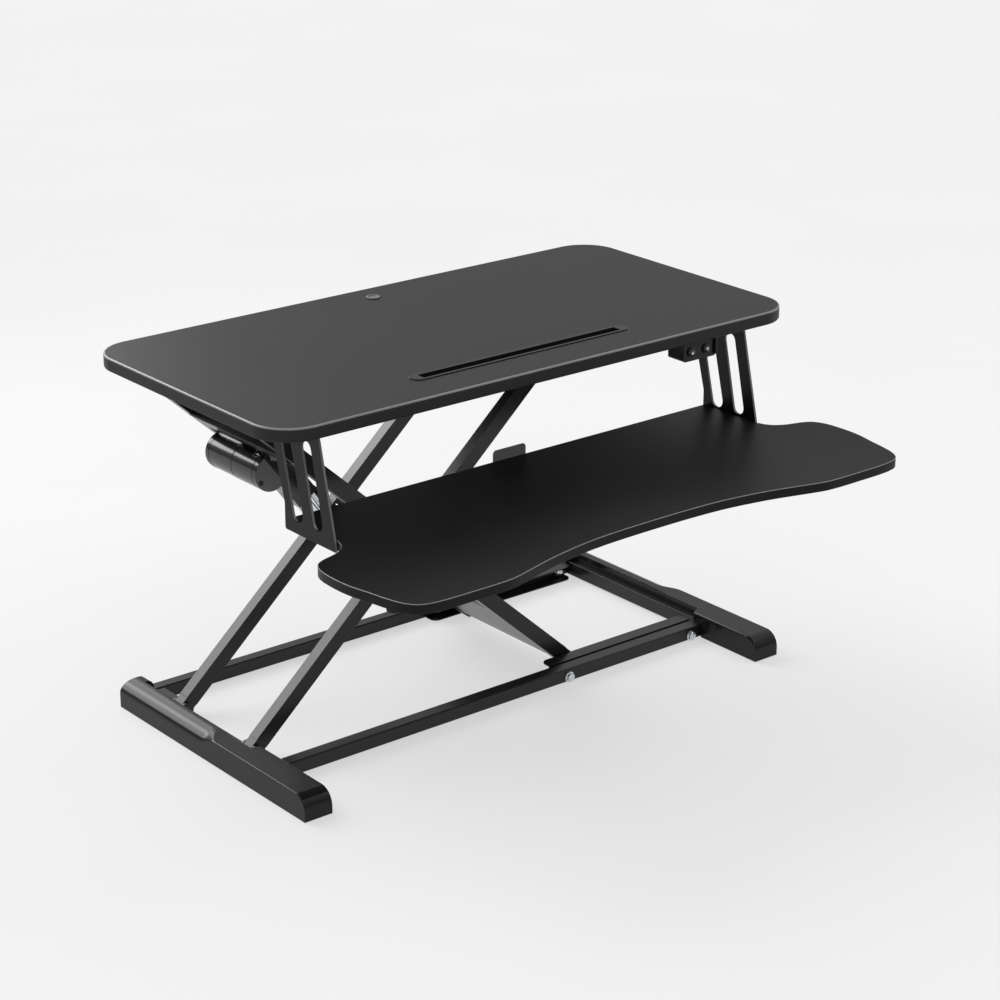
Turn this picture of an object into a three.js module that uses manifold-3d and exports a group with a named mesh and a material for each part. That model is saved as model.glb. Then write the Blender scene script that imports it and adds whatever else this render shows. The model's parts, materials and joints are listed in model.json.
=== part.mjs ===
// Motorised standing desk converter: two feet, an X-shaped lift, a desktop and a keyboard tray.
// Millimetres, +Z up, +X to the user's right, the user stands on the -Y side. Shown raised.
import * as THREE from 'three';
import { mergeVertices } from 'three/addons/utils/BufferGeometryUtils.js';
import Module from 'manifold-3d';

const wasm = await Module();
wasm.setup();

const GAP = 0.3;                     // air between pieces that touch
const SIDES = 16;                    // facets of an ordinary round

// Desktop and what is let into it
const DESK_HALF = 400;
const DESK_FRONT = -92;
const DESK_BACK = 312;
const DESK_TOP = 480;
const DESK_UNDER = 463;
const DESK_CORNER = 51;
const SLOT_Y = -27;
const SLOT_HALF = 167;
const SLOT_WIDTH = 22;
const GROMMET_Y = 273;

// Lift: every arm runs from its pivot (left) to its roller (right)
const HINGE_X = -337;
const FLOOR_PIVOT_Z = 12;
const ARM = 644;
const REST_ANGLE = THREE.MathUtils.degToRad(41.85);
const TOP_PIVOT_Z = FLOOR_PIVOT_Z + ARM * Math.sin(REST_ANGLE);
const ROLLER_X = HINGE_X + ARM * Math.cos(REST_ANGLE);
const MID_Y = 157;                   // the lift is the same in front of and behind this plane
const ARM_HALF = 9.5;
const ARM_A_FRONT = [71, 87];
const ARM_B_FRONT = [46, 62];
const TUBE_WALL = 1.5;
const PIN = 4;
const ROLLER = 8;

// Base
const FOOT_IN = 343.5;
const FOOT_OUT = 383;
const FOOT_FRONT = -100;
const FOOT_BACK = 307;
const FOOT_BOTTOM = 1;
const FOOT_TOP = 33;
const BAR_IN = 347;
const BAR_OUT = 356.7;
const BAR_TOP = 21.8;
const COVER_IN = 357;                 // inner wall of a cover where the bar shows beside it
const PAD_X = 371.5;
const PAD_YS = [-84, 286];
const RAIL_WALL = 1.6;
const RAIL_LEFT = 93;
const RAIL_RIGHT = 340;

// Keyboard tray
const TRAY_TOP = 340;
const TRAY_UNDER = 328;
const TRAY_BACK = -6;
const BRACKET_IN = 328.5;
const BRACKET_OUT = 331.5;

// Drive
const DRIVE_X = -254;                // upper pin of the linear drive
const DRIVE_Z = 362;
const DRIVE_ANGLE = THREE.MathUtils.degToRad(53.2);
const DRIVE_FRONT = 140;
const DRIVE_BACK = 172;
const DRIVE_Y = 156;
const DRIVE_LENGTH = 237;
const MOTOR_ALONG = 5.8;
const MOTOR_BELOW = -20.6;
const MOTOR_RADIUS = 23.5;
const CASE_RADIUS = 24;
const CASE_FRONT = 128;              // ahead of the clevis the gear case is cut back to a D
const CASE_FLAT = -16.6;

// ---------- solids ----------
function solid(geometry) {
  const bare = geometry.clone();
  bare.deleteAttribute('normal');
  bare.deleteAttribute('uv');
  const merged = mergeVertices(bare, 1e-4);
  return new wasm.Manifold(new wasm.Mesh({
    numProp: 3,
    vertProperties: new Float32Array(merged.attributes.position.array),
    triVerts: new Uint32Array(merged.index.array),
  }));
}

function surface(manifold) {
  const mesh = manifold.getMesh();
  const geometry = new THREE.BufferGeometry();
  geometry.setAttribute('position', new THREE.BufferAttribute(mesh.vertProperties, 3));
  geometry.setIndex(new THREE.BufferAttribute(mesh.triVerts, 1));
  return geometry;
}

function join(...pieces) {
  return pieces.reduce((sum, piece) => sum.add(piece));
}

function box(x0, x1, y0, y1, z0, z1) {
  const geometry = new THREE.BoxGeometry(x1 - x0, y1 - y0, z1 - z0);
  geometry.translate((x0 + x1) / 2, (y0 + y1) / 2, (z0 + z1) / 2);
  return solid(geometry);
}

function rodY(x, z, y0, y1, radius, sides = SIDES) {
  const geometry = new THREE.CylinderGeometry(radius, radius, y1 - y0, sides);
  geometry.translate(x, (y0 + y1) / 2, z);
  return solid(geometry);
}

function rodX(y, z, x0, x1, radius, sides = SIDES) {
  const geometry = new THREE.CylinderGeometry(radius, radius, x1 - x0, sides);
  geometry.rotateZ(Math.PI / 2);
  geometry.translate((x0 + x1) / 2, y, z);
  return solid(geometry);
}

function rodZ(x, y, z0, z1, radius, sides = SIDES) {
  const geometry = new THREE.CylinderGeometry(radius, radius, z1 - z0, sides);
  geometry.rotateX(Math.PI / 2);
  geometry.translate(x, y, (z0 + z1) / 2);
  return solid(geometry);
}

function extruded(shape, depth, curveSegments) {
  return new THREE.ExtrudeGeometry(shape, { depth, bevelEnabled: false, curveSegments });
}

// a flat shape drawn in (x, y), standing between two heights
function plateXY(shape, z0, z1, curveSegments = 6) {
  const geometry = extruded(shape, z1 - z0, curveSegments);
  geometry.translate(0, 0, z0);
  return solid(geometry);
}

// a flat shape drawn in (x, z), filling y0 to y1
function plateXZ(shape, y0, y1, curveSegments = 6) {
  const geometry = extruded(shape, y1 - y0, curveSegments);
  geometry.rotateX(Math.PI / 2);
  geometry.translate(0, y1, 0);
  return solid(geometry);
}

// a flat shape drawn in (y, z), filling x0 to x1
function plateYZ(shape, x0, x1, curveSegments = 6) {
  const geometry = extruded(shape, x1 - x0, curveSegments);
  const turn = new THREE.Matrix4().makeBasis(
    new THREE.Vector3(0, 1, 0),
    new THREE.Vector3(0, 0, 1),
    new THREE.Vector3(1, 0, 0),
  );
  geometry.applyMatrix4(turn);
  geometry.translate(x0, 0, 0);
  return solid(geometry);
}

function polygon(points) {
  return new THREE.Shape(points.map(([u, v]) => new THREE.Vector2(u, v)));
}

function roundedRect(u0, u1, v0, v1, radius) {
  const shape = new THREE.Shape();
  shape.moveTo(u0 + radius, v0);
  shape.lineTo(u1 - radius, v0);
  shape.absarc(u1 - radius, v0 + radius, radius, -Math.PI / 2, 0, false);
  shape.lineTo(u1, v1 - radius);
  shape.absarc(u1 - radius, v1 - radius, radius, 0, Math.PI / 2, false);
  shape.lineTo(u0 + radius, v1);
  shape.absarc(u0 + radius, v1 - radius, radius, Math.PI / 2, Math.PI, false);
  shape.lineTo(u0, v0 + radius);
  shape.absarc(u0 + radius, v0 + radius, radius, Math.PI, 1.5 * Math.PI, false);
  return shape;
}

// a strip with half-round ends, from one centre to another
function capsule(u0, v0, u1, v1, radius) {
  const along = Math.atan2(v1 - v0, u1 - u0);
  const shape = new THREE.Shape();
  shape.absarc(u1, v1, radius, along - Math.PI / 2, along + Math.PI / 2, false);
  shape.absarc(u0, v0, radius, along + Math.PI / 2, along + 1.5 * Math.PI, false);
  return shape;
}

function hexY(x, z, y0, y1, radius) {
  return rodY(x, z, y0, y1, radius, 6);
}

// skin over a row of outlines that all have the same number of points
function loft(outlines) {
  const rows = outlines.length;
  const count = outlines[0].length;
  const index = [];
  for (let row = 0; row < rows - 1; row += 1) {
    for (let i = 0; i < count; i += 1) {
      const a = row * count + i;
      const b = row * count + ((i + 1) % count);
      index.push(a, b, b + count, a, b + count, a + count);
    }
  }
  const last = (rows - 1) * count;
  for (let i = 1; i < count - 1; i += 1) {
    index.push(0, i + 1, i, last, last + i, last + i + 1);
  }
  const geometry = new THREE.BufferGeometry();
  const points = outlines.flat(2);
  geometry.setAttribute('position', new THREE.Float32BufferAttribute(points, 3));
  geometry.setIndex(index);
  return solid(geometry);
}

// the same piece on the other side of the plane y = MID_Y
function behind(piece) {
  return piece.mirror([0, 1, 0]).translate([0, 2 * MID_Y, 0]);
}

function mirrored(piece) {
  return piece.mirror([1, 0, 0]);
}

// ---------- finishes ----------
const FINISHES = {
  board: { color: 0x2b2b2d, metalness: 0.0, roughness: 0.55 },
  plastic: { color: 0x1d1d1f, metalness: 0.0, roughness: 0.45 },
  painted: { color: 0x232325, metalness: 0.3, roughness: 0.45 },
  zinc: { color: 0xb9bcc2, metalness: 0.9, roughness: 0.3 },
  chrome: { color: 0xdcdfe4, metalness: 1.0, roughness: 0.1 },
  cover: { color: 0x4a4a4d, metalness: 0.0, roughness: 0.55 },
  rubber: { color: 0x121212, metalness: 0.0, roughness: 0.9 },
  nylon: { color: 0x30343a, metalness: 0.0, roughness: 0.4 },
};

const converter = new THREE.Group();
converter.name = 'standing_desk_converter';

function put(parent, name, finish, piece) {
  const material = new THREE.MeshStandardMaterial(FINISHES[finish]);
  const mesh = new THREE.Mesh(surface(piece), material);
  mesh.name = name;
  parent.add(mesh);
}

// ---------- feet ----------
// cross-section of a foot, at one place along it; blend 0 is the flat front, 1 the rounded back
function footOutline(y, top, blend) {
  const edge = 1.5;
  const drop = FOOT_TOP - top;
  const outerZ = THREE.MathUtils.lerp(FOOT_TOP - edge, 20.5, blend) - drop;
  const crestX = THREE.MathUtils.lerp(FOOT_OUT - edge, 360, blend);
  const crestZ = THREE.MathUtils.lerp(FOOT_TOP, 35, blend) - drop;
  const outline = [[FOOT_IN, y, FOOT_BOTTOM], [FOOT_OUT, y, FOOT_BOTTOM]];
  const steps = 7;
  for (let i = 0; i <= steps; i += 1) {
    const angle = (i / steps) * Math.PI / 2;
    const x = crestX + (FOOT_OUT - crestX) * Math.cos(angle);
    outline.push([x, y, outerZ + (crestZ - outerZ) * Math.sin(angle)]);
  }
  const inner = THREE.MathUtils.lerp(2 * edge, 11, blend);
  for (let i = 0; i <= 4; i += 1) {
    const angle = (i / 4) * Math.PI / 2;
    outline.push([FOOT_IN + inner * (1 - Math.sin(angle)), y, crestZ - inner * (1 - Math.cos(angle))]);
  }
  return outline.reverse();
}

function footShell() {
  const noseRadius = 19;
  const sections = [];
  for (let i = 7; i >= 0; i -= 1) {
    const angle = (i / 7) * Math.PI / 2;
    const y = FOOT_FRONT + noseRadius * (1 - Math.sin(angle));
    sections.push([y, FOOT_TOP - noseRadius * (1 - Math.cos(angle)), 0]);
  }
  for (let i = 0; i <= 6; i += 1) {
    const t = i / 6;
    sections.push([88 + 34 * t, FOOT_TOP, t * t * (3 - 2 * t)]);
  }
  sections.push([FOOT_BACK, FOOT_TOP, 1]);
  return loft(sections.map(([y, top, t]) => footOutline(y, top, t)));
}

// a cover spans the whole foot at its front and back; between them the steel bar shows beside it
function footCover(barFront) {
  const low = FOOT_IN - 5;
  const beside = plateXY(polygon([[low, barFront - 2], [COVER_IN, barFront + 7], [COVER_IN, 288.7],
    [low, 288.7]]), -1, 50);
  const cut = join(
    beside,
    box(BAR_IN - GAP, BAR_OUT + GAP, -70 - GAP, 300 + GAP, 0, BAR_TOP + GAP),
    box(low, BAR_IN + 1, 5.6, 25.4, 0, 21),
    box(low, BAR_IN + 1, 288, 306.4, 0, 21),
    rodX(296, 22, low, BAR_IN + 1, 6, 16),
    ...PAD_YS.map((y) => rodZ(PAD_X, y, 0, 3, 9.3, 20)),
  );
  return footShell().subtract(cut);
}

function footBar() {
  return box(BAR_IN, BAR_OUT, -70, 300, 3, BAR_TOP);
}

// steel cheek beside an arm, standing off the foot bar and holding the hinge rod
function hingeCheek(y0, y1) {
  const web = box(HINGE_X - 15, HINGE_X, y0, y1, 3, 20);
  const eye = rodY(HINGE_X, FLOOR_PIVOT_Z, y0, y1, 10.5);
  const floorCut = box(HINGE_X - 20, HINGE_X + 20, y0 - 1, y1 + 1, -5, 2.2);
  return join(web, eye).subtract(floorCut);
}

function leftFootBar() {
  const [armFront, armBack] = ARM_A_FRONT;
  const cheeks = join(hingeCheek(armFront - 4, armFront - 1), hingeCheek(armBack + 1, armBack + 4));
  const shelf = box(-BAR_IN - 0.5, -FOOT_IN + 12, 246, 284, 19, 21);
  const hole = rodY(HINGE_X, FLOOR_PIVOT_Z, 40, 274, PIN + GAP);
  return join(mirrored(footBar()), cheeks, behind(cheeks), shelf).subtract(hole);
}

function floorPad(side, y) {
  return rodZ(side * PAD_X, y, 0, 3 - GAP, 9, 20);
}

// ---------- base frame ----------
const CROSS_FRONT = [6, 25];
const CROSS_BACK = [289, 306];
const RAIL_FRONT_Y = [25.3, 44];

function crossBar(y0, y1, boltXs, boltZ) {
  const end = BAR_IN - GAP;
  const tube = plateYZ(roundedRect(y0, y1, 2, 20.5, 2), -end, end, 3);
  const bore = box(-end - 1, end + 1, y0 + RAIL_WALL, y1 - RAIL_WALL, 2 + RAIL_WALL, 20.5 - RAIL_WALL);
  const holes = boltXs.map((x) => rodY(x, boltZ, y0 - 1, y1 + 1, PIN - 0.7, 16));
  return tube.subtract(join(bore, ...holes));
}

// C channel along X, open towards +Y, with its rear edge trimmed round at both ends
function channel(y0, y1, z0, z1, boltXs, boltZ) {
  const body = box(RAIL_LEFT, RAIL_RIGHT, y0, y1, z0, z1);
  const bore = box(RAIL_LEFT - 1, RAIL_RIGHT + 1, y0 + RAIL_WALL, y1 + 1, z0 + RAIL_WALL, z1 - RAIL_WALL);
  const corner = 10;
  const trims = [[RAIL_LEFT, 1], [RAIL_RIGHT, -1]].map(([x, side]) => {
    const square = box(Math.min(x, x + side * corner) - 1, Math.max(x, x + side * corner) + 1,
      y1 - corner, y1 + 1, z0 - 1, z1 + 1);
    return square.subtract(rodZ(x + side * corner, y1 - corner, z0 - 2, z1 + 2, corner, 22))
      .subtract(box(x + side * corner - (side < 0 ? 5 : 0), x + side * corner + (side < 0 ? 0 : 5),
        y1 - corner, y1 + 2, z0 - 2, z1 + 2));
  });
  const holes = boltXs.map((x) => rodY(x, boltZ, y0 - 1, y0 + RAIL_WALL + 1, PIN - 0.7, 16));
  return body.subtract(join(bore, ...trims, ...holes));
}

// hexagon head bolt lying along Y; the head faces -Y
function bolt(x, z, headY, headDeep, shankEnd) {
  const head = join(
    hexY(x, z, headY, headY + headDeep, 6),
    rodY(x, z, headY + headDeep - 1, headY + headDeep, 7.4),
  );
  return join(head, rodY(x, z, headY + headDeep - 0.1, shankEnd, PIN - 1, 16));
}

// ---------- arms (drawn straight, along local X) ----------
function armTube(y0, y1, near, far) {
  const bar = plateXZ(capsule(0, 0, ARM, 0, ARM_HALF), y0, y1);
  const flat = join(bar, box(14, ARM - 14, y0, y1, -10, 10));
  const bore = box(16, ARM - 16, y0 + TUBE_WALL, y1 - TUBE_WALL, -10 + TUBE_WALL, 10 - TUBE_WALL);
  const holes = join(
    rodY(0, 0, y0 - 1, y1 + 1, PIN + GAP),
    rodY(ARM / 2, 0, y0 - 1, y1 + 1, 5),
    box(12, 20, y0 + 5, y1 - 5, -3, 3),
  );
  const shoulder = rodY(ARM, 0, Math.min(near, far), Math.max(near, far), 5.8, 14);
  return join(flat.subtract(join(bore, holes)), shoulder);
}

// stub axle for a roller on the -Y side of an arm whose face is at y
function stubAxle(y) {
  return join(
    rodY(ARM, 0, y - 17.8, y + 1, PIN, 14),
    rodY(ARM, 0, y - 17.8, y - 16.8, 5.8, 14),
  );
}

function frontArm([y0, y1]) {
  return join(armTube(y0, y1, y0 - 3.7, y0 + 1), stubAxle(y0));
}

function roller(y) {
  const wheel = rodY(ARM, 0, y - 16.5, y - 4, ROLLER, 20);
  return wheel.subtract(rodY(ARM, 0, y - 18, y - 3, PIN + GAP, 14));
}

function squareTube(x, z, y0, y1, half, wall) {
  const outer = box(x - half, x + half, y0, y1, z - half, z + half);
  const inner = half - wall;
  return outer.subtract(box(x - inner, x + inner, y0 - 1, y1 + 1, z - inner, z + inner));
}

const A_TUBE = [310, -22.8];         // cross tube slung under the A arms
const B_TUBE = [75, 0];              // cross tube between the B arms, carrying the drive
const LUG_SIDES = [[145.6, 149.1], [162.9, 166.4]];
const CLEVIS_SIDES = [[136.4, 139.7], [172.3, 175.6]];

function toArmA(x, z) {
  const dx = x - HINGE_X;
  const dz = z - FLOOR_PIVOT_Z;
  const c = Math.cos(REST_ANGLE);
  const s = Math.sin(REST_ANGLE);
  return [dx * c + dz * s, dz * c - dx * s];
}

function toArmB(x, z) {
  const dx = x - HINGE_X;
  const dz = z - TOP_PIVOT_Z;
  const c = Math.cos(REST_ANGLE);
  const s = Math.sin(REST_ANGLE);
  return [dx * c - dz * s, dx * s + dz * c];
}

const ROD_PIN = toArmA(
  DRIVE_X + DRIVE_LENGTH * Math.cos(DRIVE_ANGLE),
  DRIVE_Z - DRIVE_LENGTH * Math.sin(DRIVE_ANGLE),
);
const DRIVE_PIN = toArmB(DRIVE_X, DRIVE_Z);

function actuatorLug() {
  const [u, v] = ROD_PIN;
  const [tu, tv] = A_TUBE;
  const sides = LUG_SIDES.map(([y0, y1]) => plateXZ(capsule(u, v, tu - 4, tv - 4, 11), y0, y1));
  const clear = box(tu - 12.5 - GAP, tu + 30, 140, 175, tv - 12.5 - GAP, tv + 30);
  const tie = box(tu - 22, tu - 12.5 - GAP, 145.6, 166.4, tv - 10, tv + 6);
  const room = rodY(u, v, 149.2, 162.8, 20.4, 22);
  const pin = rodY(u, v, 141.5, 170.5, PIN, 14);
  const heads = join(rodY(u, v, 141.5, 146, 7.5, 14), rodY(u, v, 166, 170.5, 7.5, 14));
  return join(join(...sides, tie).subtract(clear).subtract(room), pin, heads);
}

function armBCrossTube() {
  const [u, v] = DRIVE_PIN;
  const [tu, tv] = B_TUBE;
  const tube = squareTube(tu, tv, ARM_B_FRONT[1] + GAP, 2 * MID_Y - ARM_B_FRONT[1] - GAP, 12, 2);
  const cheeks = CLEVIS_SIDES.map(([y0, y1]) => plateXZ(capsule(tu + 8, tv, u, v, 9), y0, y1));
  const inner = box(tu - 10, tu + 10, 100, 200, tv - 10, tv + 10);
  return join(tube, ...cheeks.map((cheek) => cheek.subtract(inner)))
    .subtract(rodY(u, v, 130, 180, 5 + GAP));
}

function clevisBolt() {
  const [u, v] = DRIVE_PIN;
  return join(hexY(u, v, 131.4, 136.1, 8.5), rodY(u, v, 136, 176.2, 5, 14));
}

function armBWebPlate() {
  const y0 = ARM_B_FRONT[1] + GAP;
  const y1 = 2 * MID_Y - y0;
  return join(
    box(ARM - 150, ARM - 10, y0, y1, -8.5, -6.2),
    box(ARM - 150, ARM - 147.7, y0, y1, -8.5, 5),
    box(ARM - 12.3, ARM - 10, y0, y1, -8.5, 5),
    box(ARM - 150, ARM - 147.7, MID_Y - 14, MID_Y + 14, -20, -6.2),
  );
}

// bolt, washer and nut where a front A arm and a front B arm cross
function centrePivotBolt() {
  const x = ARM / 2;
  return join(
    hexY(x, 0, 40.4, 45.7, 8),
    rodY(x, 0, 45, 95, 4.7, 14),
    rodY(x, 0, 62.3, 70.7, 9),
    hexY(x, 0, 87.3, 93.5, 8),
  );
}

// ---------- drive (drawn along local X from its upper pin) ----------
function gearboxHousing() {
  const block = plateXZ(capsule(0, 0, 74, 0, 16), DRIVE_FRONT, DRIVE_BACK, 8);
  const nose = box(60, 90, DRIVE_FRONT, DRIVE_BACK, -16, 16);
  const gears = rodY(MOTOR_ALONG, MOTOR_BELOW, CASE_FRONT + GAP, DRIVE_BACK, CASE_RADIUS, 30);
  const clear = box(-60, 60, CASE_FRONT - 1, DRIVE_FRONT, CASE_FLAT, 60);
  const bore = rodX(DRIVE_Y, 0, 14, 91, 14.4, 22);
  return join(block, nose, gears.subtract(clear)).subtract(join(bore, rodY(0, 0, 130, 180, 5 + GAP)));
}

function gearboxCover() {
  const disc = rodY(MOTOR_ALONG, MOTOR_BELOW, CASE_FRONT - 9, CASE_FRONT, CASE_RADIUS, 30);
  return disc.subtract(box(-60, 60, CASE_FRONT - 10, CASE_FRONT + 1, CASE_FLAT, 60));
}

function motorCan() {
  const can = rodY(MOTOR_ALONG, MOTOR_BELOW, DRIVE_BACK + GAP, 230, MOTOR_RADIUS, 30);
  const rim = rodY(MOTOR_ALONG, MOTOR_BELOW, 229, 232, MOTOR_RADIUS - 2, 30);
  const room = box(-60, 60, DRIVE_BACK - 1, 177.2, -15, 60);
  return join(can, rim).subtract(room);
}

function leadScrew() {
  const profile = [[0, 14.4], [8, 14.4], [8, 16.4], [5.2, 16.4]];
  for (let x = 22; x <= 130; x += 18) {
    profile.push([4.6, x], [4.6, x + 2.5], [5.6, x + 4], [5.6, x + 5.5]);
  }
  profile.push([4.6, 146], [0, 146]);
  const geometry = new THREE.LatheGeometry(profile.map(([r, x]) => new THREE.Vector2(r, x)), 12);
  geometry.rotateZ(-Math.PI / 2);
  geometry.translate(0, DRIVE_Y, 0);
  return solid(geometry);
}

function pushTube() {
  const tube = rodX(DRIVE_Y, 0, 77, 214.7, 14, 28);
  return tube.subtract(rodX(DRIVE_Y, 0, 76, 208, 9, 20));
}

const ROD_EYE = 9.8;
function rodEnd() {
  const neck = rodX(DRIVE_Y, 0, 215, 224, 8.5, 18);
  const collar = rodX(DRIVE_Y, 0, 215, 219, 12.5, 20);
  const eye = rodY(DRIVE_LENGTH, 0, 149.6, 162.4, 14.5, 22);
  return join(neck, collar, eye).subtract(rodY(DRIVE_LENGTH, 0, 145, 167, ROD_EYE, 22));
}

// ---------- top frame ----------
const TOP_RAIL_FRONT_Y = [50.3, 69];

function topRail() {
  const [y0, y1] = TOP_RAIL_FRONT_Y;
  const z0 = TOP_PIVOT_Z - 10;
  const z1 = TOP_PIVOT_Z + 10;
  const standoff = box(108, 142, y0, y1, z1 - 0.5, DESK_UNDER - GAP);
  return join(channel(y0, y1, z0, z1, [], 0), standoff);
}

function hingeBracketTop() {
  const [y0, y1] = ARM_B_FRONT;
  const z = TOP_PIVOT_Z;
  const cheeks = [[y0 - 4.3, y0 - 1.3], [y1 + 1.3, y1 + 4.3]].map(([a, b]) => join(
    plateXZ(polygon([[HINGE_X - 20, z + 10.8], [HINGE_X - 9.5, z - 4], [HINGE_X + 9.5, z - 4],
      [HINGE_X + 20, z + 10.8]]), a, b),
    rodY(HINGE_X, z, a, b, 10.3),
  ));
  const cap = box(HINGE_X - 22, HINGE_X + 22, y0 - 4.3, y1 + 4.3, z + 10.5, z + 13);
  const pin = rodY(HINGE_X, z, y0 - 8, y1 + 8, PIN, 14);
  const heads = join(rodY(HINGE_X, z, y0 - 8, y0 - 4.2, 6.5, 14), rodY(HINGE_X, z, y1 + 4.2, y1 + 8, 6.5, 14));
  return join(...cheeks, cap, pin, heads);
}

function crossMember(x0, x1, z0) {
  const tube = box(x0, x1, 30, 284, z0, DESK_UNDER - GAP);
  const bore = box(x0 + 1.6, x1 - 1.6, 29, 285, z0 + 1.6, DESK_UNDER - GAP - 1.6);
  return tube.subtract(bore);
}

// ---------- desktop ----------
function stadiumXY(y, half, width) {
  return capsule(-half + width / 2, y, half - width / 2, y, width / 2);
}

function desktop() {
  const shape = roundedRect(-DESK_HALF, DESK_HALF, DESK_FRONT, DESK_BACK, DESK_CORNER);
  const edge = 1.2;
  const geometry = new THREE.ExtrudeGeometry(shape, {
    depth: DESK_TOP - DESK_UNDER - 2 * edge,
    bevelEnabled: true,
    bevelThickness: edge,
    bevelSize: edge,
    bevelOffset: -edge,
    bevelSegments: 1,
    curveSegments: 9,
  });
  geometry.translate(0, 0, DESK_UNDER + edge);
  const pocket = plateXY(stadiumXY(SLOT_Y, SLOT_HALF + GAP, SLOT_WIDTH + 2 * GAP), 471.7, 490, 8);
  const hole = rodZ(0, GROMMET_Y, 460, 490, 7.8, 20);
  return solid(geometry).subtract(join(pocket, hole));
}

function deviceSlotInsert() {
  const body = plateXY(stadiumXY(SLOT_Y, SLOT_HALF, SLOT_WIDTH), 472, 481.2, 8);
  const groove = plateXY(roundedRect(-SLOT_HALF + 14, SLOT_HALF - 14, SLOT_Y - 7, SLOT_Y + 6, 2), 474.5, 490, 4);
  return body.subtract(groove);
}

function grommetCap() {
  const profile = [[0, 468], [7.5, 468], [7.5, 480.3], [9.5, 480.3], [9.5, 481.1], [8.8, 481.8],
    [7, 481.8], [6.3, 480.4], [0, 480.4]];
  const geometry = new THREE.LatheGeometry(profile.map(([r, z]) => new THREE.Vector2(r, z)), 20);
  geometry.rotateX(Math.PI / 2);
  geometry.translate(0, GROMMET_Y, 0);
  return solid(geometry);
}

// ---------- keyboard tray ----------
function trayShape() {
  const right = [[329.5, -103.2], [332, -112], [339, -121.5], [354, -130], [372, -135], [385.6, -142],
    [394, -157.6], [396.6, -178], [397, -200.7], [395, -221], [390.4, -242], [382.7, -280.5],
    [373.7, -299], [361, -307.5], [333.5, -311.2], [300, -311.5], [264, -311.5], [241.5, -309.8],
    [220, -304.4], [180, -293], [148.6, -286], [101, -278.5], [50, -275.6], [0, -275]];
  const left = right.slice(0, -1).reverse().map(([x, y]) => [-x, y]);
  const knots = [...right, ...left].map(([x, y]) => new THREE.Vector3(x, y, 0));
  const curve = new THREE.CatmullRomCurve3(knots, false, 'centripetal');
  const front = curve.getPoints(92).map((p) => [p.x, p.y]);
  const inner = BRACKET_IN - 0.5;
  return polygon([[-inner, -103.2], [-inner, TRAY_BACK - 2], [-inner + 2, TRAY_BACK], [inner - 2, TRAY_BACK],
    [inner, TRAY_BACK - 2], [inner, -103.2], ...front]);
}

function trayBracket() {
  const low = TRAY_UNDER - GAP - 1.7;
  const outline = polygon([[-101.3, low + 2], [-69.2, DESK_UNDER - GAP], [28.6, DESK_UNDER - GAP], [-1, 358],
    [-1, low + 2], [-3, low], [-99.5, low]]);
  outline.holes.push(capsule(-66.4, 351.4, -46.9, 436.4, 9.3));
  outline.holes.push(capsule(-27, 351, -5.2, 436.4, 10));
  const plate = plateYZ(outline, BRACKET_IN, BRACKET_OUT);
  const under = roundedRect(BRACKET_IN - 26, BRACKET_IN + 1, -97, -8, 5);
  const underTray = plateXY(under, low, TRAY_UNDER - GAP, 4);
  const top = roundedRect(BRACKET_IN - 24, BRACKET_IN + 1, -66, 24, 5);
  const underDesk = plateXY(top, DESK_UNDER - 3.3, DESK_UNDER - GAP, 4);
  return join(plate, underTray, underDesk);
}

// plate across the middle of the tray's back edge, standing up past it
function stopTab() {
  const y = TRAY_BACK + GAP;
  const top = TRAY_TOP + 13.3;
  const face = plateXZ(roundedRect(-25.6, 25.6, TRAY_UNDER + 1, top, 5), y, y + 2.4, 6);
  const square = box(-25.6, 25.6, y, y + 2.4, TRAY_UNDER + 1, TRAY_UNDER + 9);
  return join(face, square);
}

// ---------- controls ----------
const BUTTON_Z = 450;
const BUTTON_XS = { button_up: 225.6, button_down: 250.6 };

function controlBox() {
  const body = plateXZ(roundedRect(214, 268, 438, DESK_UNDER - GAP, 3), -84, -55, 4);
  const lip = box(264.8, 268, -87.5, -83.5, 441, DESK_UNDER - GAP);
  const wells = Object.values(BUTTON_XS).map((x) => rodY(x, BUTTON_Z, -90, -74, 6.5, 20));
  return join(body, lip).subtract(join(...wells));
}

function button(x) {
  return join(rodY(x, BUTTON_Z, -85.6, -78.5, 6.1, 20), rodY(x, BUTTON_Z, -86.4, -85, 5.4, 20));
}

function controllerBox() {
  const body = plateXY(roundedRect(-60, 50, 104, 190, 6), 441, DESK_UNDER - GAP, 5);
  const inlet = rodY(30, 451, 180, 191, 4.2, 14);
  const contact = rodY(30, 451, 181, 188.5, 1.2, 12);
  return join(body.subtract(inlet), contact.translate([0, -1.5, 0]));
}

function cord(points, radius, steps) {
  const curve = new THREE.CatmullRomCurve3(points.map(([x, y, z]) => new THREE.Vector3(x, y, z)));
  const ring = new THREE.Shape();
  ring.absarc(0, 0, radius, 0, 2 * Math.PI, false);
  return solid(new THREE.ExtrudeGeometry(ring, { steps, curveSegments: 4, extrudePath: curve }));
}

// ---------- assembly ----------
const base = new THREE.Group();
base.name = 'base';
converter.add(base);
put(base, 'left_foot_cover', 'plastic', mirrored(footCover(43)));
put(base, 'right_foot_cover', 'plastic', footCover(20));
put(base, 'left_foot_bar', 'painted', leftFootBar());
put(base, 'right_foot_bar', 'painted', footBar());
put(base, 'floor_pad_front_left', 'rubber', floorPad(-1, PAD_YS[0]));
put(base, 'floor_pad_front_right', 'rubber', floorPad(1, PAD_YS[0]));
put(base, 'floor_pad_rear_left', 'rubber', floorPad(-1, PAD_YS[1]));
put(base, 'floor_pad_rear_right', 'rubber', floorPad(1, PAD_YS[1]));

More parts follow.
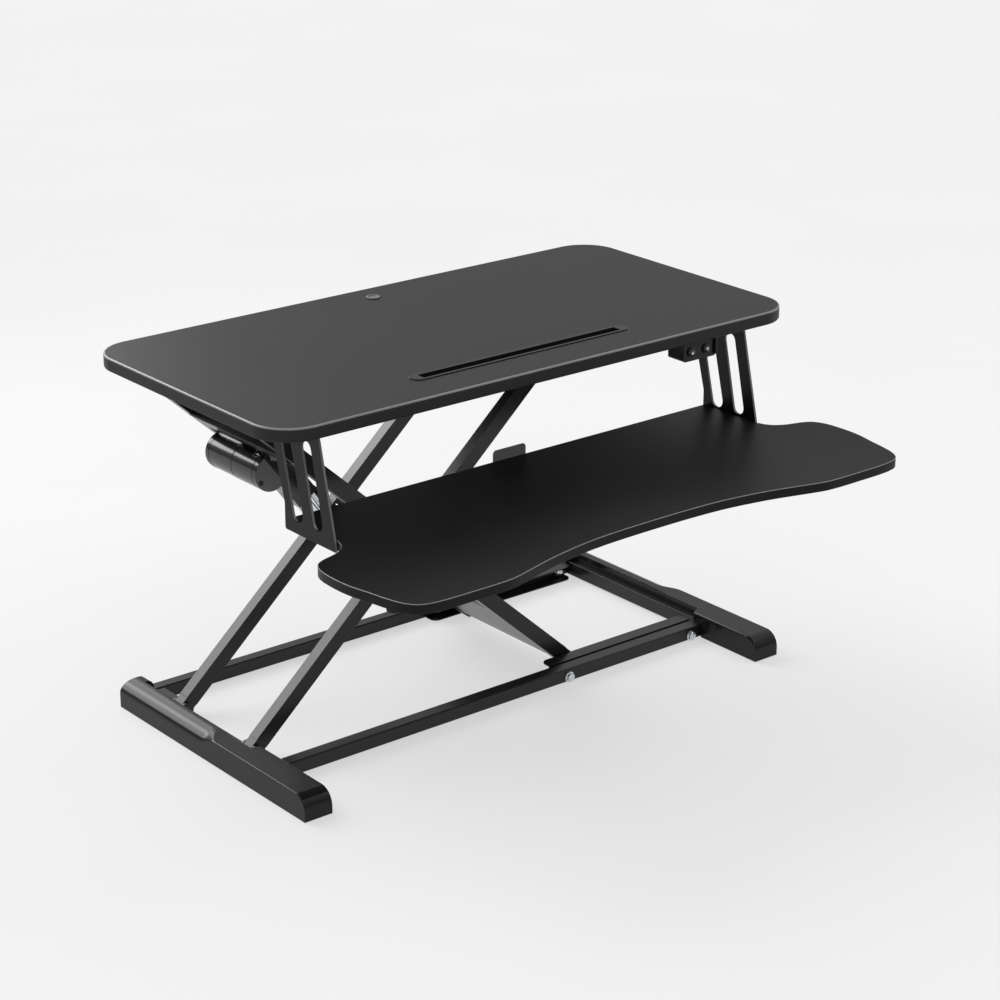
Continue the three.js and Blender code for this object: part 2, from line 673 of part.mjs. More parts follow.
const FRONT_BOLTS = [110.6, 325];
const REAR_BOLTS = [111, 329];
const FRONT_BOLT_Z = 8.7;
const REAR_BOLT_Z = 11.8;
const rearRail = behind(channel(...RAIL_FRONT_Y, 2, 22, REAR_BOLTS, REAR_BOLT_Z));
put(base, 'front_cross_bar', 'painted', crossBar(...CROSS_FRONT, FRONT_BOLTS, FRONT_BOLT_Z));
put(base, 'rear_cross_bar', 'painted', crossBar(...CROSS_BACK, REAR_BOLTS, REAR_BOLT_Z));
put(base, 'front_base_rail', 'painted', channel(...RAIL_FRONT_Y, 2, 22, FRONT_BOLTS, FRONT_BOLT_Z));
put(base, 'rear_base_rail', 'painted', rearRail);
put(base, 'rail_bolt_front_left', 'zinc', bolt(FRONT_BOLTS[0], FRONT_BOLT_Z, 1.2, 4.5, 27.6));
put(base, 'rail_bolt_front_right', 'zinc', bolt(FRONT_BOLTS[1], FRONT_BOLT_Z, 1.2, 4.5, 27.6));
put(base, 'rail_bolt_rear_left', 'zinc', bolt(REAR_BOLTS[0], REAR_BOLT_Z, 282.6, 4.1, 304));
put(base, 'rail_bolt_rear_right', 'zinc', bolt(REAR_BOLTS[1], REAR_BOLT_Z, 282.6, 4.1, 304));

const armA = new THREE.Group();
armA.name = 'arm_a';
armA.position.set(HINGE_X, 0, FLOOR_PIVOT_Z);
armA.rotation.y = -REST_ANGLE;
converter.add(armA);
const hingeRod = join(
  rodY(0, 0, 62.4, 2 * MID_Y - 62.4, PIN),
  rodY(0, 0, 62.4, 66.6, 6.5, 14),
  rodY(0, 0, 2 * MID_Y - 66.6, 2 * MID_Y - 62.4, 6.5, 14),
);
put(armA, 'arm_a_front', 'painted', frontArm(ARM_A_FRONT));
put(armA, 'arm_a_rear', 'painted', behind(frontArm(ARM_A_FRONT)));
put(armA, 'arm_a_cross_tube', 'painted', squareTube(...A_TUBE, 71, 2 * MID_Y - 71, 12.5, 2));
put(armA, 'actuator_lug', 'painted', actuatorLug());
put(armA, 'arm_a_hinge_rod', 'zinc', hingeRod);
put(armA, 'upper_roller_front', 'nylon', roller(ARM_A_FRONT[0]));
put(armA, 'upper_roller_rear', 'nylon', behind(roller(ARM_A_FRONT[0])));

const armB = new THREE.Group();
armB.name = 'arm_b';
armB.position.set(HINGE_X, 0, TOP_PIVOT_Z);
armB.rotation.y = REST_ANGLE;
converter.add(armB);
put(armB, 'arm_b_front', 'painted', frontArm(ARM_B_FRONT));
put(armB, 'arm_b_rear', 'painted', behind(frontArm(ARM_B_FRONT)));
put(armB, 'arm_b_cross_tube', 'painted', armBCrossTube());
put(armB, 'clevis_bolt', 'zinc', clevisBolt());
put(armB, 'arm_b_web_plate', 'painted', armBWebPlate());
put(armB, 'centre_pivot_bolt_front', 'zinc', centrePivotBolt());
put(armB, 'centre_pivot_bolt_rear', 'zinc', behind(centrePivotBolt()));
put(armB, 'lower_roller_front', 'nylon', roller(ARM_B_FRONT[0]));
put(armB, 'lower_roller_rear', 'nylon', behind(roller(ARM_B_FRONT[0])));

const drive = new THREE.Group();
drive.name = 'drive';
drive.position.set(DRIVE_X, 0, DRIVE_Z);
drive.rotation.y = DRIVE_ANGLE;
converter.add(drive);
put(drive, 'gearbox_housing', 'plastic', gearboxHousing());
put(drive, 'gearbox_cover', 'cover', gearboxCover());
put(drive, 'motor_can', 'painted', motorCan());
put(drive, 'lead_screw', 'zinc', leadScrew());
put(drive, 'push_tube', 'chrome', pushTube());
put(drive, 'rod_end', 'painted', rodEnd());

const platform = new THREE.Group();
platform.name = 'platform';
converter.add(platform);
put(platform, 'desktop', 'board', desktop());
put(platform, 'device_slot_insert', 'plastic', deviceSlotInsert());
put(platform, 'grommet_cap', 'cover', grommetCap());
put(platform, 'upper_rail_front', 'painted', topRail());
put(platform, 'upper_rail_rear', 'painted', behind(topRail()));
put(platform, 'cross_member_left', 'painted', crossMember(HINGE_X - 22, HINGE_X + 22, TOP_PIVOT_Z + 13 + GAP));
put(platform, 'cross_member_right', 'painted', crossMember(296, 334, TOP_PIVOT_Z + 10 + GAP));
put(platform, 'hinge_bracket_top_front', 'painted', hingeBracketTop());
put(platform, 'hinge_bracket_top_rear', 'painted', behind(hingeBracketTop()));
put(platform, 'tray_bracket_left', 'painted', mirrored(trayBracket()));
put(platform, 'tray_bracket_right', 'painted', trayBracket());
put(platform, 'keyboard_tray', 'board', plateXY(trayShape(), TRAY_UNDER, TRAY_TOP));
put(platform, 'stop_tab', 'painted', stopTab());
put(platform, 'tray_pad_left', 'rubber', rodZ(-374, -268, 323, TRAY_UNDER - GAP, 9, 20));
put(platform, 'tray_pad_right', 'rubber', rodZ(374, -268, 323, TRAY_UNDER - GAP, 9, 20));
put(platform, 'control_box', 'plastic', controlBox());
for (const [name, x] of Object.entries(BUTTON_XS)) {
  put(platform, name, 'cover', button(x));
}
put(platform, 'controller_box', 'plastic', controllerBox());

// the two leads meet on the axis of the top hinge, so neither is pulled when the lift moves
put(converter, 'motor_lead_upper', 'rubber', cord([
  [HINGE_X, DRIVE_Y, TOP_PIVOT_Z + 1.8], [-322, 156, 446], [-307, 155, 450], [-290, 154, 457], [-230, 150, 459.5],
  [-150, 147, 458], [-60.4, 147, 452],
], 2.3, 30));
put(converter, 'motor_lead_lower', 'rubber', cord([
  [-272.4, 132, 360.9], [-268.5, 132, 363.8], [-262.8, 131, 375], [-258.5, 131, 391], [-264, 132, 406],
  [-283, 137, 419], [-305, 143, 421], [-325, 150, 424], [-334.5, 154.5, 431.5],
  [HINGE_X, DRIVE_Y, TOP_PIVOT_Z - 2.8],
], 2, 30));

export default converter;
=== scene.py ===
"""Standing desk converter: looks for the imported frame. Metres, +Z up, the user on the -Y side."""
import json
import math

import bmesh
import bpy
from mathutils import Matrix, Vector, noise


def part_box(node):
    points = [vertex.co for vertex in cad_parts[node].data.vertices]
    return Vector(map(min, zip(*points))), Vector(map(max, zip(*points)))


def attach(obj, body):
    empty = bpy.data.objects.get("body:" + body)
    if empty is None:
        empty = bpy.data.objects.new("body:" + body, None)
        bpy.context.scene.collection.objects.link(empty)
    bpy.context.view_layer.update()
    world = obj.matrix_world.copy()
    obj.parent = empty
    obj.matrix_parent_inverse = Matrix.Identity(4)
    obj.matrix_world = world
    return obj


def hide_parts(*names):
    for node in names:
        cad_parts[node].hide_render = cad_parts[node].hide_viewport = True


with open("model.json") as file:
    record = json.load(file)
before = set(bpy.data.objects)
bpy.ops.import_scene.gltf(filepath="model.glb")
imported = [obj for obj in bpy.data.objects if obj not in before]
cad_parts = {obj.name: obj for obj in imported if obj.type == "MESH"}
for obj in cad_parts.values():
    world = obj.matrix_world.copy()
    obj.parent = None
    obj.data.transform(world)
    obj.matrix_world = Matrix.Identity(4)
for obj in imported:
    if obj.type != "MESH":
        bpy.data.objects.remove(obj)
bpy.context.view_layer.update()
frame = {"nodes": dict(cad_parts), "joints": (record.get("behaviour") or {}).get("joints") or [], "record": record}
MM = 0.001
BODY_OF = {}
for body, nodes in frame["record"]["behaviour"]["bodies"].items():
    for node in nodes:
        BODY_OF[node] = body
SLOT_OF = {s["node"]: s["material_slot"] for s in frame["record"]["subparts"]}


# ---------- materials ----------
NOISE_LOW = 0.3    # the part of a noise texture's range that is used
NOISE_HIGH = 0.7


def grey(value):
    return (value, value, value * 1.02)


def new_material(name):
    material = bpy.data.materials.new(name)
    material.use_nodes = True
    tree = material.node_tree
    shader = tree.nodes["Principled BSDF"]
    return material, tree, shader


def link(tree, a, b):
    tree.links.new(a, b)


def position(tree):
    return tree.nodes.new("ShaderNodeTexCoord").outputs["Object"]


def noise_at(tree, vector, scale, detail=3.0, rough=0.55):
    node = tree.nodes.new("ShaderNodeTexNoise")
    node.inputs["Scale"].default_value = scale
    node.inputs["Detail"].default_value = detail
    node.inputs["Roughness"].default_value = rough
    link(tree, vector, node.inputs["Vector"])
    return node.outputs["Fac"]


def ramp(tree, factor, low, high):
    node = tree.nodes.new("ShaderNodeValToRGB")
    node.color_ramp.elements[0].position = NOISE_LOW
    node.color_ramp.elements[1].position = NOISE_HIGH
    node.color_ramp.elements[0].color = (*low, 1)
    node.color_ramp.elements[1].color = (*high, 1)
    link(tree, factor, node.inputs["Fac"])
    return node.outputs["Color"]


def spread(tree, factor, low, high):
    node = tree.nodes.new("ShaderNodeMapRange")
    node.inputs["From Min"].default_value = NOISE_LOW
    node.inputs["From Max"].default_value = NOISE_HIGH
    node.inputs["To Min"].default_value = low
    node.inputs["To Max"].default_value = high
    link(tree, factor, node.inputs["Value"])
    return node.outputs["Result"]


def bump(tree, shader, height, strength, distance, under=None):
    node = tree.nodes.new("ShaderNodeBump")
    node.inputs["Strength"].default_value = strength
    node.inputs["Distance"].default_value = distance
    link(tree, height, node.inputs["Height"])
    if under is not None:
        link(tree, under, node.inputs["Normal"])
    link(tree, node.outputs["Normal"], shader.inputs["Normal"])
    return node.outputs["Normal"]


def grain(name, low, high, rough, pebble, depth, specular, mottle):
    """Moulded, painted or laminated surface: mottled grey, uneven gloss, fine pebbles and slow waves."""
    material, tree, shader = new_material(name)
    at = position(tree)
    slow = noise_at(tree, at, mottle, 4.0)
    fine = noise_at(tree, at, pebble, 2.0, 0.6)
    link(tree, ramp(tree, slow, grey(low), grey(high)), shader.inputs["Base Color"])
    link(tree, spread(tree, slow, *rough), shader.inputs["Roughness"])
    shader.inputs["Specular IOR Level"].default_value = specular
    first = bump(tree, shader, fine, 0.55, depth)
    bump(tree, shader, noise_at(tree, at, pebble * 0.12, 1.0), 0.2, depth * 2.0, first)
    return material


def metal(name, colour, rough):
    """Plated metal with slightly cloudy colour and gloss."""
    material, tree, shader = new_material(name)
    at = position(tree)
    slow = noise_at(tree, at, 60.0, 4.0)
    low = tuple(c * 0.86 for c in colour)
    link(tree, ramp(tree, slow, low, colour), shader.inputs["Base Color"])
    link(tree, spread(tree, slow, *rough), shader.inputs["Roughness"])
    shader.inputs["Metallic"].default_value = 1.0
    bump(tree, shader, noise_at(tree, at, 900.0, 2.0), 0.12, 0.00004)
    return material


# darkest and lightest grey, roughness range, pebble scale and depth, specular level, mottle scale
MATERIALS = {
    "board": grain("laminate", 0.016, 0.021, (0.40, 0.50), 1500.0, 0.00009, 0.14, 5.0),
    # painted shade: the tray's laminate is a darker copy of the desktop's, standing in for the shade under the
    # desktop
    "tray": grain("laminate_tray_painted_shade", 0.005, 0.007, (0.38, 0.46), 1500.0, 0.00006, 0.13, 5.0),
    "plastic": grain("moulded_plastic", 0.007, 0.010, (0.16, 0.22), 1300.0, 0.00002, 0.20, 12.0),
    "painted": grain("powder_coat", 0.007, 0.010, (0.26, 0.33), 800.0, 0.00003, 0.33, 10.0),
    # painted shade: the brackets' powder coat is a darker, less glossy copy of the arms' coat, standing in for
    # their shade
    "bracket": grain("bracket_coat_painted_shade", 0.003, 0.005, (0.30, 0.38), 800.0, 0.00003, 0.16, 10.0),
    # painted light: the stop tab's coat is a far lighter grey than the other coats, standing in for the light on
    # its front face
    "tab": grain("tab_coat_painted_light", 0.15, 0.17, (0.40, 0.48), 800.0, 0.00003, 0.35, 10.0),
    # painted highlight: a light grey for the rounded top edges and the walls facing the user, standing in for the
    # light they catch
    "edge": grain("painted_edge_highlight", 0.13, 0.15, (0.24, 0.32), 900.0, 0.00002, 0.5, 12.0),
    "motor": grain("motor_enamel", 0.008, 0.012, (0.14, 0.20), 700.0, 0.00001, 0.6, 14.0),
    "rubber": grain("rubber", 0.010, 0.016, (0.70, 0.85), 900.0, 0.00006, 0.3, 30.0),
    "cover": grain("matte_cover", 0.085, 0.095, (0.48, 0.56), 1300.0, 0.00005, 0.45, 12.0),
    "button": grain("button_cap", 0.012, 0.016, (0.16, 0.22), 900.0, 0.00001, 0.5, 30.0),
    "nylon": grain("nylon", 0.030, 0.040, (0.30, 0.40), 600.0, 0.00002, 0.5, 30.0),
    "mark": grain("white_mark", 0.72, 0.78, (0.40, 0.50), 900.0, 0.00001, 0.5, 30.0),
    "zinc": metal("zinc_plate", (0.72, 0.74, 0.77), (0.16, 0.26)),
    "chrome": metal("chrome_tube", (0.80, 0.83, 0.86), (0.10, 0.16)),
}


# ---------- pieces ----------
MERGE = 0.000004    # CAD vertices closer than this are one
FLAT = math.radians(0.6)    # faces closer to level than this are one flat
SHARP = math.radians(28.0)    # edges sharper than this are rounded
SMOOTH = math.radians(38.0)    # edges softer than this are shaded smooth


def finish_mesh(bm, name, material, weighted=True):
    """An object from a bmesh, smooth except over its sharp edges."""
    for face in bm.faces:
        face.smooth = True
    for edge in bm.edges:
        edge.smooth = len(edge.link_faces) == 2 and edge.calc_face_angle(0.0) < SMOOTH
    mesh = bpy.data.meshes.new(name)
    bm.to_mesh(mesh)
    bm.free()
    mesh.materials.append(material)
    piece = bpy.data.objects.new(name, mesh)
    bpy.context.scene.collection.objects.link(piece)
    if weighted:
        modifier = piece.modifiers.new("weighted", "WEIGHTED_NORMAL")
        modifier.keep_sharp = True
    return piece


def refined(node, round_mm, material):
    """A finer piece in place of a CAD node: its flats made whole, and its sharp edges rounded."""
    bm = bmesh.new()
    bm.from_mesh(frame["nodes"][node].data)
    bmesh.ops.remove_doubles(bm, verts=bm.verts, dist=MERGE)
    bmesh.ops.dissolve_limit(bm, angle_limit=FLAT, verts=bm.verts, edges=bm.edges)
    edges = [e for e in bm.edges if len(e.link_faces) == 2 and e.calc_face_angle(0.0) > SHARP]
    lighter_kind = PAINTED_HIGHLIGHTS_AND_FACES.get(node)
    if edges:
        bmesh.ops.bevel(bm, geom=edges, offset=round_mm * MM, offset_type="OFFSET", segments=3,
                        profile=0.5, affect="EDGES", clamp_overlap=True, material=1 if lighter_kind else -1)
    # material 1 is a painted highlight on the rising bevel strips or on the walls facing the user; on the gearbox
    # cover it is the front face's own matte grey
    if lighter_kind:
        bm.normal_update()
        for face in bm.faces:
            if lighter_kind == "top":
                face.material_index = int(face.material_index == 1 and face.normal.z > 0.15)
            elif lighter_kind == "front":
                face.material_index = int(face.normal.y < -0.35)
            else:
                face.material_index = int(face.normal.y < -0.9)
    piece = finish_mesh(bm, "looks_" + node, MATERIALS[material])
    if lighter_kind:
        # second material: the painted edge highlight, except the gearbox cover's front face, which takes its own
        # matte cover grey
        piece.data.materials.append(MATERIALS["cover" if lighter_kind == "face" else "edge"])
    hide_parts(node)
    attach(piece, BODY_OF[node])


# lighter faces: the rounded top edges and the walls that face the user get a painted highlight; the whole front
# face of the gearbox cover gets its own matte cover grey
PAINTED_HIGHLIGHTS_AND_FACES = {
    "arm_a_front": "top", "arm_a_rear": "top", "left_foot_cover": "top", "right_foot_cover": "top",
    "desktop": "top", "keyboard_tray": "top", "tray_bracket_left": "front", "tray_bracket_right": "front",
    "gearbox_cover": "face",
}
ROUND = 0.45    # mm, where ROUNDS names no other
ROUNDS = {
    "tray_bracket_left": 1.0, "tray_bracket_right": 1.0, "stop_tab": 0.9, "gearbox_cover": 1.0,
    "motor_can": 1.2, "gearbox_housing": 0.8, "control_box": 0.8, "device_slot_insert": 0.5,
    "hinge_bracket_top_front": 0.8, "hinge_bracket_top_rear": 0.8,
    "arm_a_front": 1.6, "arm_a_rear": 1.6, "arm_b_front": 1.6, "arm_b_rear": 1.6,
    "arm_a_cross_tube": 1.6, "arm_b_cross_tube": 0.8, "front_cross_bar": 0.4, "rear_cross_bar": 0.4,
    "front_base_rail": 0.7, "rear_base_rail": 0.7, "upper_rail_front": 0.7, "upper_rail_rear": 0.7,
    "left_foot_cover": 1.0, "right_foot_cover": 1.0, "desktop": 1.3, "keyboard_tray": 1.3,
}
# the brackets and the tray take the painted-shade copies, the stop tab the painted-light copy
MATERIAL_FOR = {
    "tray_bracket_left": "bracket", "tray_bracket_right": "bracket", "stop_tab": "tab",
    "keyboard_tray": "tray", "motor_can": "motor", "gearbox_housing": "motor", "gearbox_cover": "motor",
    "arm_a_hinge_rod": "painted", "button_up": "button", "button_down": "button",
}
for name in sorted(frame["nodes"]):
    refined(name, ROUNDS.get(name, ROUND), MATERIAL_FOR.get(name, SLOT_OF[name]))


# ---------- details ----------
BEAD_SIDES = 10
BUTTON_DOME = [(0, -0.2), (5.3, -0.2), (5.3, 0), (5.2, 0.35), (4.9, 0.7), (4.2, 1.05), (3.0, 1.3),
               (1.5, 1.42), (0, 1.45)]
PORT = [(0, -1.3), (3.4, -1.3), (3.4, 0), (3.4, 0.5), (2.6, 0.6), (2.4, -0.9), (0, -0.9)]


def turned(profile, sides, loop=False):
    """A turned shape about +Z from (radius, height) pairs in mm; a loop joins its ends up."""
    bm = bmesh.new()
    rings = []
    for radius, height in profile:
        if radius == 0:
            rings.append([bm.verts.new((0, 0, height * MM))])
            continue
        ring = []
        for i in range(sides):
            turn = 2 * math.pi * i / sides
            x, y = radius * MM * math.cos(turn), radius * MM * math.sin(turn)
            ring.append(bm.verts.new((x, y, height * MM)))
        rings.append(ring)
    pairs = list(zip(rings, rings[1:]))
    if loop:
        pairs.append((rings[-1], rings[0]))
    for low, high in pairs:
        for i in range(sides):
            j = (i + 1) % sides
            corners = [low[i % len(low)], low[j % len(low)], high[j % len(high)], high[i % len(high)]]
            unique = list(dict.fromkeys(corners))
            if len(unique) > 2:
                bm.faces.new(unique)
    bmesh.ops.recalc_face_normals(bm, faces=bm.faces)
    return bm


def aimed(place_mm, direction):
    """A frame whose +Z points along direction, at a place in mm."""
    turn = Vector(direction).normalized().to_track_quat("Z", "Y").to_matrix().to_4x4()
    return Matrix.Translation(Vector(place_mm) * MM) @ turn


def settle(piece, place, body):
    """Place a piece, and hang it on the body that carries it."""
    piece.matrix_world = place
    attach(piece, body)


def socket_screw(name, place_mm, direction, radius, body, material, spin):
    """Domed head, closed underneath, with a six-sided socket sunk in it."""
    rise = radius * 0.42
    dome = math.radians(62)
    profile = [(0, 0), (radius, 0), (radius, rise * 0.35)]
    for i in range(1, 6):
        turn = i / 5 * dome
        height = 0.35 + 0.65 * math.sin(turn) / math.sin(dome)
        profile.append((radius * math.cos(turn), rise * height))
    socket = radius * 0.36
    profile += [(socket, profile[-1][1]), (socket, rise * 0.25), (0, rise * 0.25)]
    bm = turned(profile, 24)
    for vert in bm.verts:
        if 0 < math.hypot(vert.co.x, vert.co.y) < socket * 1.01 * MM:
            past = (math.atan2(vert.co.y, vert.co.x) + spin) % (math.pi / 3) - math.pi / 6
            grow = math.cos(math.pi / 6) / math.cos(past)
            vert.co.x *= grow
            vert.co.y *= grow
    piece = finish_mesh(bm, name, MATERIALS[material])
    settle(piece, aimed(place_mm, direction), body)


def ring_band(name, place_mm, radius, width, raise_mm):
    """A low rounded band round the motor, such as a rolled seam or a crimp."""
    half = width / 2
    profile = [(radius - 0.4, -half), (radius + raise_mm * 0.7, -half), (radius + raise_mm, -half * 0.4),
               (radius + raise_mm, half * 0.4), (radius + raise_mm * 0.7, half), (radius - 0.4, half)]
    piece = finish_mesh(turned(profile, 56, loop=True), name, MATERIALS["motor"])
    settle(piece, aimed(place_mm, (0, 1, 0)), "drive")


def weld_bead(name, ends_mm, radius, body):
    """A rippled bead of weld metal along a straight line."""
    start, end = (Vector(p) * MM for p in ends_mm)
    along = (end - start).normalized()
    side = along.orthogonal().normalized()
    other = along.cross(side)
    length = (end - start).length
    steps = max(10, int(length / (radius * MM * 0.55)))
    bm = bmesh.new()
    rows = []
    for i in range(steps + 1):
        at = start + along * (length * i / steps)
        ripple = 1.0 + 0.14 * math.sin(i * 1.9) + 0.10 * noise.noise(at * 900.0)
        ripple *= min(1.0, 0.35 + 3.0 * min(i, steps - i) / steps)
        rows.append([bm.verts.new(at + (side * math.cos(t) + other * math.sin(t)) * radius * MM * ripple)
                     for t in (2 * math.pi * k / BEAD_SIDES for k in range(BEAD_SIDES))])
    for low, high in zip(rows, rows[1:]):
        for k in range(BEAD_SIDES):
            after = (k + 1) % BEAD_SIDES
            bm.faces.new((low[k], low[after], high[after], high[k]))
    bm.faces.new(rows[0])
    bm.faces.new(list(reversed(rows[-1])))
    bmesh.ops.recalc_face_normals(bm, faces=bm.faces)
    piece = finish_mesh(bm, name, MATERIALS["painted"], weighted=False)
    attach(piece, body)


def arrow(name, x, z, y, up, body):
    """Small raised arrowhead on a button."""
    tall = 2.3 if up else -2.3
    bm = bmesh.new()
    points = [(x, z + tall), (x - 2.1, z - tall * 0.75), (x + 2.1, z - tall * 0.75)]
    front = [bm.verts.new((px * MM, (y - 0.25) * MM, pz * MM)) for px, pz in points]
    back = [bm.verts.new((px * MM, (y + 0.3) * MM, pz * MM)) for px, pz in points]
    bm.faces.new(front)
    bm.faces.new(list(reversed(back)))
    for i in range(3):
        bm.faces.new((front[i], front[(i + 1) % 3], back[(i + 1) % 3], back[i]))
    bmesh.ops.recalc_face_normals(bm, faces=bm.faces)
    piece = finish_mesh(bm, name, MATERIALS["mark"], weighted=False)
    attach(piece, body)


def node_box(node):
    """A node's lowest and highest corners, in mm."""
    low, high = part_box(node)
    return low / MM, high / MM


def joint(name):
    return next(j for j in frame["joints"] if j["name"] == name)


# drive: its own axes, from the joints that tilt and push it
DRIVE_PIN = Vector(joint("drive_tilt")["pos_m"]) / MM
DRIVE_AXIS = Vector(joint("drive_stroke")["axis"]).normalized()
DRIVE_UP = Vector((-DRIVE_AXIS.z, 0, DRIVE_AXIS.x))


def in_drive(along, up, y):
    """A place in mm from distances along and above the drive's own line."""
    place = DRIVE_PIN + DRIVE_AXIS * along + DRIVE_UP * up
    return Vector((place.x, y, place.z))


MOTOR = (5.8, -20.6)    # the motor's axis, along and above the drive's line
MOTOR_RADIUS = 23.5
CASE_RADIUS = 24.0
PORT_ANGLE = math.radians(172)
can_low, can_high = node_box("motor_can")
case_front = node_box("gearbox_housing")[0].y
cover_front = node_box("gearbox_cover")[0].y
port = turned(PORT, 28)
for vert in port.verts:
    vert.co.x *= 1.5
along, above = math.cos(PORT_ANGLE), math.sin(PORT_ANGLE)
settle(finish_mesh(port, "case_port", MATERIALS["zinc"]),
       aimed(in_drive(MOTOR[0] + CASE_RADIUS * along, MOTOR[1] + CASE_RADIUS * above, case_front + 7.0),
             DRIVE_AXIS * along + DRIVE_UP * above), "drive")
ring_band("motor_seam_near", in_drive(*MOTOR, can_low.y + 2.2), MOTOR_RADIUS, 1.6, 0.35)
ring_band("motor_crimp_far", in_drive(*MOTOR, can_high.y - 8.0), MOTOR_RADIUS, 2.6, 0.3)
socket_screw("cover_screw_low", in_drive(MOTOR[0] - 2.0, MOTOR[1] - 19.2, cover_front), (0, -1, 0), 3.4,
             "drive", "painted", 0.5)

# buttons
for node, up in (("button_up", True), ("button_down", False)):
    low, high = node_box(node)
    centre = (low + high) / 2
    piece = finish_mesh(turned(BUTTON_DOME, 40), node + "_dome", MATERIALS["button"])
    settle(piece, aimed((centre.x, low.y + 0.05, centre.z), (0, -1, 0)), BODY_OF[node])
    arrow(node + "_arrow", centre.x, centre.z - (0.3 if up else -0.3), low.y - 1.25, up, BODY_OF[node])

# screws through the bracket flanges, the stop tab and the rails into the boards
DOWN = (0, 0, -1)
DESK_FLANGE_Z = 459.7
for side, node in ((-1, "tray_bracket_left"), (1, "tray_bracket_right")):
    flange_z = node_box(node)[0].z
    for i, y in enumerate((-82.0, -52.0, -24.0)):
        place = (side * 312, y, flange_z)
        socket_screw(f"{node}_tray_screw_{i}", place, DOWN, 4.0, "platform", "zinc", 0.4 * i)
    for i, y in enumerate((-52.0, 8.0)):
        place = (side * 313, y, DESK_FLANGE_Z)
        socket_screw(f"{node}_desk_screw_{i}", place, DOWN, 4.0, "platform", "zinc", 0.7 * i)
tab_back = node_box("stop_tab")[1].y
for i, x in enumerate((-15.0, 15.0)):
    socket_screw(f"stop_tab_screw_{i}", (x, tab_back, 333.5), (0, 1, 0), 3.2, "platform", "zinc", 0.5 + i)
for node in ("cross_member_left", "cross_member_right"):
    low, high = node_box(node)
    for i, y in enumerate((38.0, 157.0, 276.0)):
        place = ((low.x + high.x) / 2, y, low.z)
        socket_screw(f"{node}_screw_{i}", place, DOWN, 4.2, "platform", "zinc", 0.9 * i)

# weld beads where the cross tubes meet the arms
SLOPE = math.radians(41.85)    # of both pairs of arms at rest
pin_a = Vector(joint("lift")["pos_m"]) / MM
pin_b = Vector(joint("top_hinge")["pos_m"]) / MM


def on_arm(pin, slope, along, above, y):
    """A place in mm from distances along and above an arm's centre line, starting at its pin."""
    return Vector((pin.x + along * math.cos(slope) - above * math.sin(slope), y,
                   pin.z + along * math.sin(slope) + above * math.cos(slope)))


for i, y in enumerate((87.4, 226.6)):
    ends = [on_arm(pin_a, SLOPE, a, -10.4, y) for a in (298.5, 321.5)]
    weld_bead(f"weld_a_{i}", ends, 1.5, "arm_a")
for i, y in enumerate((62.6, 251.4)):
    for end, along in (("low", 62.6), ("high", 87.4)):
        ends = [on_arm(pin_b, -SLOPE, along, v, y) for v in (-9.0, 9.0)]
        weld_bead(f"weld_b_{end}_{i}", ends, 1.3, "arm_b")


# ---------- stage ----------
def floor():
    """Pale floor, partly lit from within so that it stays even."""
    bm = bmesh.new()
    bmesh.ops.create_grid(bm, x_segments=2, y_segments=2, size=30.0)
    mesh = bpy.data.meshes.new("studio_floor")
    bm.to_mesh(mesh)
    bm.free()
    material, tree, shader = new_material("pale_floor")
    clouds = noise_at(tree, position(tree), 2.0)
    link(tree, ramp(tree, clouds, grey(0.19), grey(0.20)), shader.inputs["Base Color"])
    shader.inputs["Emission Color"].default_value = (1, 1, 1, 1)
    shader.inputs["Emission Strength"].default_value = 0.585
    shader.inputs["Roughness"].default_value = 0.9
    shader.inputs["Specular IOR Level"].default_value = 0.1
    mesh.materials.append(material)
    piece = bpy.data.objects.new("studio_floor", mesh)
    bpy.context.scene.collection.objects.link(piece)


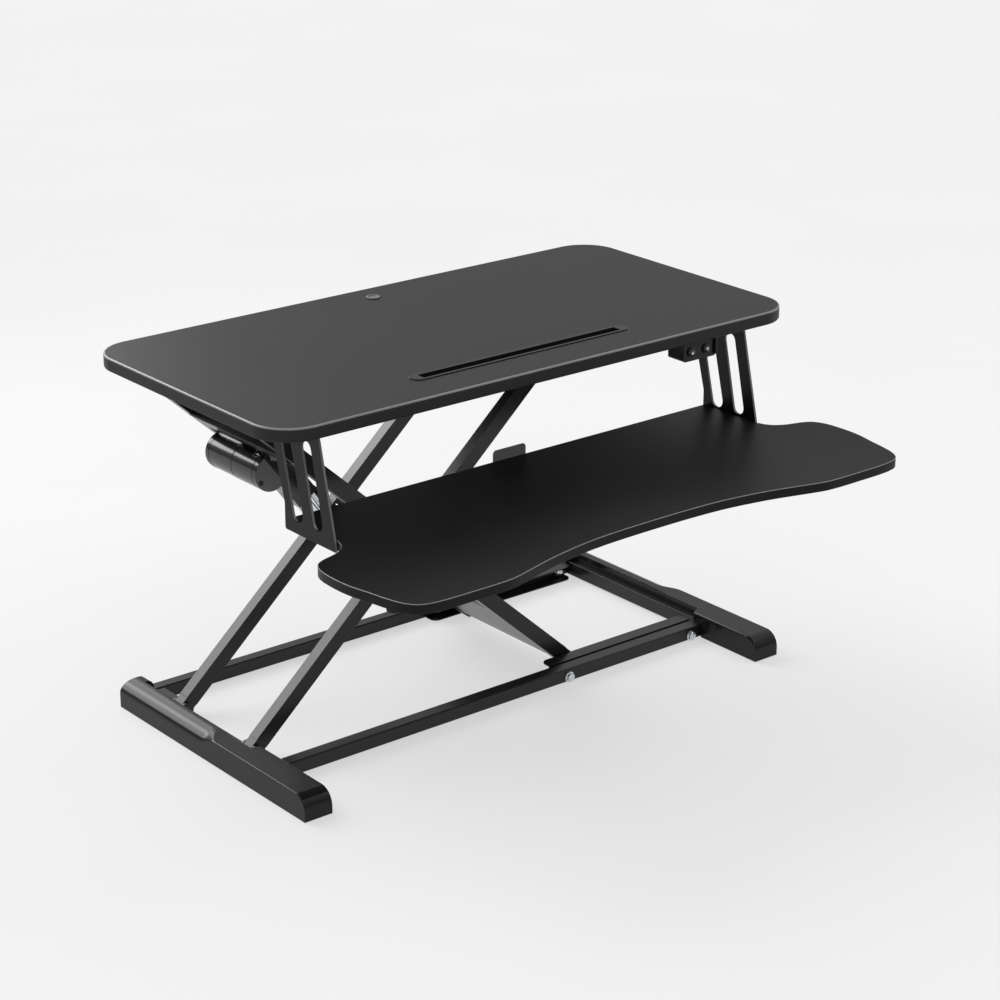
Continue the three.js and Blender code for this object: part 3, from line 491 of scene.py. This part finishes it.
def camera():
    lens = bpy.data.cameras.new("view_camera")
    lens.sensor_width = 36.0
    lens.lens = 95.45
    lens.clip_end = 200.0
    eye = bpy.data.objects.new("view_camera", lens)
    right = Vector((0.7769, -0.6296, 0.0019)).normalized()
    forward = Vector((0.5894, 0.7262, -0.3538)).normalized()
    up = right.cross(forward).normalized()
    eye.matrix_world = Matrix((
        (right.x, up.x, -forward.x, -1.9397),
        (right.y, up.y, -forward.y, -2.3765),
        (right.z, up.z, -forward.z, 1.4426),
        (0, 0, 0, 1),
    ))
    bpy.context.scene.collection.objects.link(eye)
    bpy.context.scene.camera = eye


def hang(name, light, heading):
    """A light object that shines along heading."""
    lamp = bpy.data.objects.new(name, light)
    lamp.rotation_euler = heading.to_track_quat("-Z", "Y").to_euler()
    bpy.context.scene.collection.objects.link(lamp)
    return lamp


def soft_sun():
    sun = bpy.data.lights.new("soft_sun", "SUN")
    sun.energy = 2.3
    sun.angle = math.radians(42)
    hang("soft_sun", sun, Vector((0.287, -0.726, -0.625)))


def soft_panel(name, place, target, wide, tall, power):
    panel = bpy.data.lights.new(name, "AREA")
    panel.shape = "RECTANGLE"
    panel.size = wide
    panel.size_y = tall
    panel.energy = power
    lamp = hang(name, panel, Vector(target) - Vector(place))
    lamp.location = place
    lamp.visible_camera = False


def studio_sky():
    """White light from all round, dim at the horizon and bright overhead."""
    world = bpy.data.worlds.new("studio")
    world.use_nodes = True
    tree = world.node_tree
    parts = tree.nodes.new("ShaderNodeSeparateXYZ")
    level = tree.nodes.new("ShaderNodeMapRange")
    level.inputs["From Min"].default_value = 0.0
    level.inputs["From Max"].default_value = 1.0
    level.inputs["To Min"].default_value = 0.16
    level.inputs["To Max"].default_value = 1.45
    link(tree, tree.nodes.new("ShaderNodeTexCoord").outputs["Generated"], parts.inputs["Vector"])
    link(tree, parts.outputs["Z"], level.inputs["Value"])
    link(tree, level.outputs["Result"], tree.nodes["Background"].inputs["Strength"])
    tree.nodes["Background"].inputs["Color"].default_value = (1, 1, 1, 1)
    bpy.context.scene.world = world


floor()
camera()
soft_sun()
soft_panel("panel_rear", (-0.15, 1.7, 1.2), (-0.35, 0.1, 0.48), 1.1, 0.8, 9.0)
soft_panel("panel_front", (1.4, -1.1, 2.1), (-0.2, -0.2, 0.1), 0.9, 0.5, 8.0)
studio_sky()
bpy.context.scene.view_settings.view_transform = "Standard"
